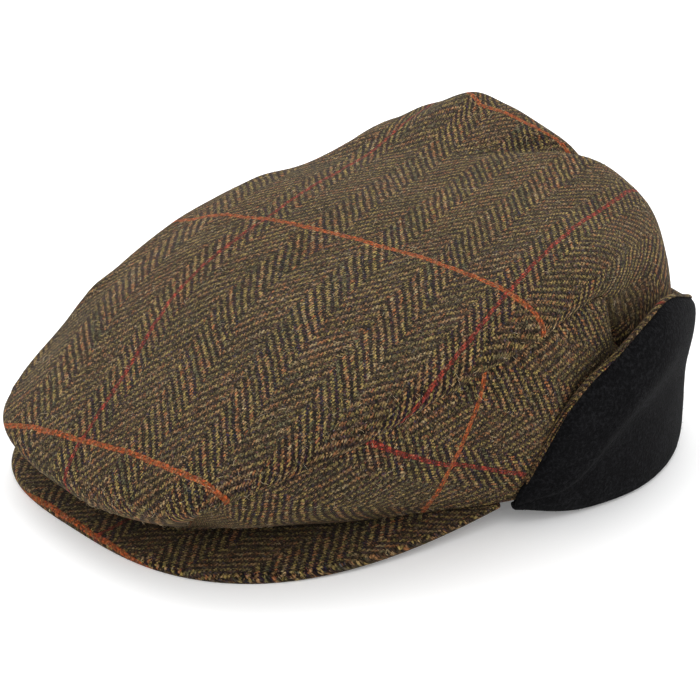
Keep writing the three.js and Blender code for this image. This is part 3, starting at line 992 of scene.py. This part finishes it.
def yarn_colour(tree, cloth, weave, orange, red):
    """Colour of the yarn on top: light in the warp, dark in the weft, with the overcheck's two."""
    light_rib, rib_colour = chance(tree, weave["rib"], weave["column"], 0.0)
    dark_rib = channels(tree, rib_colour)[1]
    warp_thread, _ = chance(tree, weave["end"], weave["rib"], 3.0)
    weft_thread, _ = chance(tree, weave["pick"], weave["rib"], 5.0)
    drift = grain(tree, cloth, DRIFT_SCALE).outputs["Fac"]

    def hue(rib, thread):
        own = sums(tree, "MULTIPLY_ADD", rib, HUE["rib"], sums(tree, "MULTIPLY", thread, HUE["thread"]))
        return sums(tree, "MULTIPLY_ADD", drift, HUE["drift"], sums(tree, "ADD", own, HUE["start"]))

    def overlaid(yarn, line, share, colour):
        return blended(tree, sums(tree, "MULTIPLY", line, share), yarn, colour)

    light = shades(tree, hue(light_rib, warp_thread), LIGHT_YARN)
    light = overlaid(light, weave["turned"], MUTED, MIDDLE_YARN)
    light = overlaid(light, orange, ORANGE_SHARE["light"], ORANGE_YARN)
    light = overlaid(light, red, RED_SHARE["light"], RED_YARN)
    dark = shades(tree, hue(dark_rib, weft_thread), DARK_YARN)
    dark = overlaid(dark, weave["turned"], MUTED, MIDDLE_YARN)
    dark = overlaid(dark, red, RED_SHARE["dark"], RED_YARN)
    dark = overlaid(dark, orange, ORANGE_SHARE["dark"], ORANGE_YARN)
    return blended(tree, weave["warp_up"], dark, light)


def hair_lines(tree, cloth, patches):
    """Thin pale lines where a grain crosses its middle, in some patches of the cloth."""
    off = sums(tree, "SUBTRACT", grain(tree, cloth, HAIR_LINE["scale"]).outputs["Fac"], 0.5)
    line = between(tree, sums(tree, "ABSOLUTE", off), *HAIR_LINE["width"])
    line = sums(tree, "MULTIPLY", line, between(tree, patches, *HAIR_LINE["patches"]))
    return sums(tree, "MULTIPLY", line, HAIR_LINE["share"])


def herringbone_tweed(name):
    """Two-and-two twill that turns every COLUMN_ENDS warp ends, with an overcheck in warp and weft."""
    material, tree, shader = start_material(name, TWEED_FINISH)
    cloth = put(tree, "ShaderNodeUVMap", uv_map="cloth").outputs["UV"]
    sway = channels(tree, grain(tree, cloth, SWAY["scale"]).outputs["Color"])
    weave = thread_weave(tree, cloth, sway)
    orange = check_line(tree, weave["pick"], PICKS)
    red = check_line(tree, weave["end"], ENDS)
    woven = yarn_colour(tree, cloth, weave, orange, red)

    fuzz = grain(tree, cloth, **FUZZ).outputs["Fac"]
    speck = put(tree, "ShaderNodeTexVoronoi", {
        "Vector": cloth, "Scale": SPECK_SCALE, "Randomness": 1.0})
    speck_tone, speck_kind, speck_hue = channels(tree, speck.outputs["Color"])
    stray = sums(tree, "MULTIPLY", between(tree, speck_kind, *STRAY["kinds"]), STRAY["share"])
    woven = blended(tree, stray, woven, shades(tree, speck_hue, STRAY_YARN))
    woven = blended(tree, hair_lines(tree, cloth, sway[2]), woven, PALE_FIBRE)

    tone = between(tree, grain(tree, cloth, **CLOUD).outputs["Fac"], *CLOUD_TONE)
    tone = sums(tree, "MULTIPLY", tone, TWEED_GAIN)
    # The float height also paints shade into the gaps of the weave and a highlight on the crowns of the
    # floats.
    for pattern, ends in ((fuzz, FUZZ_TONE), (speck_tone, SPECK_TONE), (weave["height"], FLOAT_PAINTED_SHADE)):
        tone = sums(tree, "MULTIPLY", tone, between(tree, pattern, *ends))
    check = sums(tree, "MULTIPLY_ADD", red, CHECK_EVEN["red"], orange)
    tone = mixed(tree, sums(tree, "MULTIPLY", check, CHECK_EVEN["share"]), tone, TWEED_GAIN)
    grey = put(tree, "ShaderNodeCombineColor", {0: tone, 1: tone, 2: tone}).outputs[0]
    woven = blended(tree, 1.0, woven, grey, "MULTIPLY")

    floats = sums(tree, "MULTIPLY", weave["height"], TWEED_HEIGHT["float"])
    raised = between(tree, fuzz, *FUZZ_RAISED)
    height = sums(tree, "MULTIPLY_ADD", raised, TWEED_HEIGHT["fuzz"], floats)
    dress(tree, shader, woven, height, **TWEED_RELIEF)
    return material


def loose_fibre(name):
    material, tree, shader = start_material(name, FIBRE_FINISH)
    share = grain(tree, own_place(tree), FIBRE_GRAIN).outputs["Fac"]
    dress(tree, shader, shades(tree, share, FIBRE_COLOURS))
    return material


def black_fleece(name):
    material, tree, shader = start_material(name, FLEECE_FINISH)
    where = own_place(tree)
    tuft = grain(tree, where, **TUFT).outputs["Fac"]
    lie = sums(tree, "MULTIPLY", grain(tree, where, **LIE).outputs["Fac"], 1 - TUFT_SHARE)
    colour = shades(tree, sums(tree, "MULTIPLY_ADD", tuft, TUFT_SHARE, lie), FLEECE_COLOURS)
    dress(tree, shader, colour, tuft, **FLEECE_RELIEF)
    return material


def wear(piece, material, node=None):
    piece.data.materials.clear()
    piece.data.materials.append(material)
    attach(piece, "root")
    if node:
        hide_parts(node)


tweed = herringbone_tweed("herringbone tweed")
fleece = black_fleece("black fleece")
fibre = loose_fibre("loose fibre")

wear(top_cover, tweed, "crown_top")
wear(side_covers["left"], tweed, "side_left")
wear(side_covers["right"], tweed, "side_right")
wear(peak_cover, tweed, "peak")
wear(fleece_cover, fleece, "flap_fleece")
wear(facing_cover, tweed, "flap_tweed")
wear(top_fibres, fibre)
wear(left_fibres, fibre)
wear(fleece_nap, fleece)

# Studio, in metres: a pale floor, soft light from above and a camera at the photograph's angle.
FLOOR_SIZE = 6
OVERHEAD = {"place": (-0.9, 0.8, 1.6), "size": 2.2, "power": 26}
STUDIO_GLOW = 1.13
VIEW_TURN = math.radians(49)
VIEW_RISE = math.radians(26.5)
VIEW_DISTANCE = 1.15
VIEW_AIM = {"right": -0.0202, "up": 0.0238}
SENSOR_WIDTH = 36
LENS = 163.8


def pale_floor():
    bpy.ops.object.select_all(action="DESELECT")
    bpy.ops.mesh.primitive_plane_add(size=FLOOR_SIZE)
    floor = bpy.context.active_object
    floor.name = "floor"
    material, tree, shader = start_material("pale floor", FLOOR_FINISH)
    share = grain(tree, own_place(tree), FLOOR_GRAIN).outputs["Fac"]
    dress(tree, shader, shades(tree, share, FLOOR_TONES))
    floor.data.materials.append(material)


def set_up(thing, place, aim):
    thing.location = place
    thing.rotation_euler = (aim - place).to_track_quat("-Z", "Y").to_euler()
    bpy.context.collection.objects.link(thing)


def overhead_light():
    light = bpy.data.lights.new("overhead", "AREA")
    light.shape = "RECTANGLE"
    light.size = OVERHEAD["size"]
    light.size_y = OVERHEAD["size"]
    light.energy = OVERHEAD["power"]
    set_up(bpy.data.objects.new("overhead", light), Vector(OVERHEAD["place"]), Vector((0, 0, 0)))


def studio_glow():
    world = bpy.data.worlds.new("studio")
    bpy.context.scene.world = world
    world.use_nodes = True
    glow = world.node_tree.nodes["Background"]
    glow.inputs["Color"].default_value = (1, 1, 1, 1)
    glow.inputs["Strength"].default_value = STUDIO_GLOW


def photograph_camera():
    away = Vector((
        math.sin(VIEW_TURN) * math.cos(VIEW_RISE), -math.cos(VIEW_TURN) * math.cos(VIEW_RISE),
        math.sin(VIEW_RISE)))
    right = Vector((math.cos(VIEW_TURN), math.sin(VIEW_TURN), 0))
    upward = away.cross(right)
    centre = Vector((0, MIDDLE_Y * MM, 0))
    data = bpy.data.cameras.new("camera")
    data.sensor_width = SENSOR_WIDTH
    data.lens = LENS
    camera = bpy.data.objects.new("camera", data)
    aim = centre + right * VIEW_AIM["right"] + upward * VIEW_AIM["up"]
    set_up(camera, centre + away * VIEW_DISTANCE, aim)
    bpy.context.scene.camera = camera


pale_floor()
overhead_light()
studio_glow()
photograph_camera()
bpy.context.scene.view_settings.view_transform = "Standard"
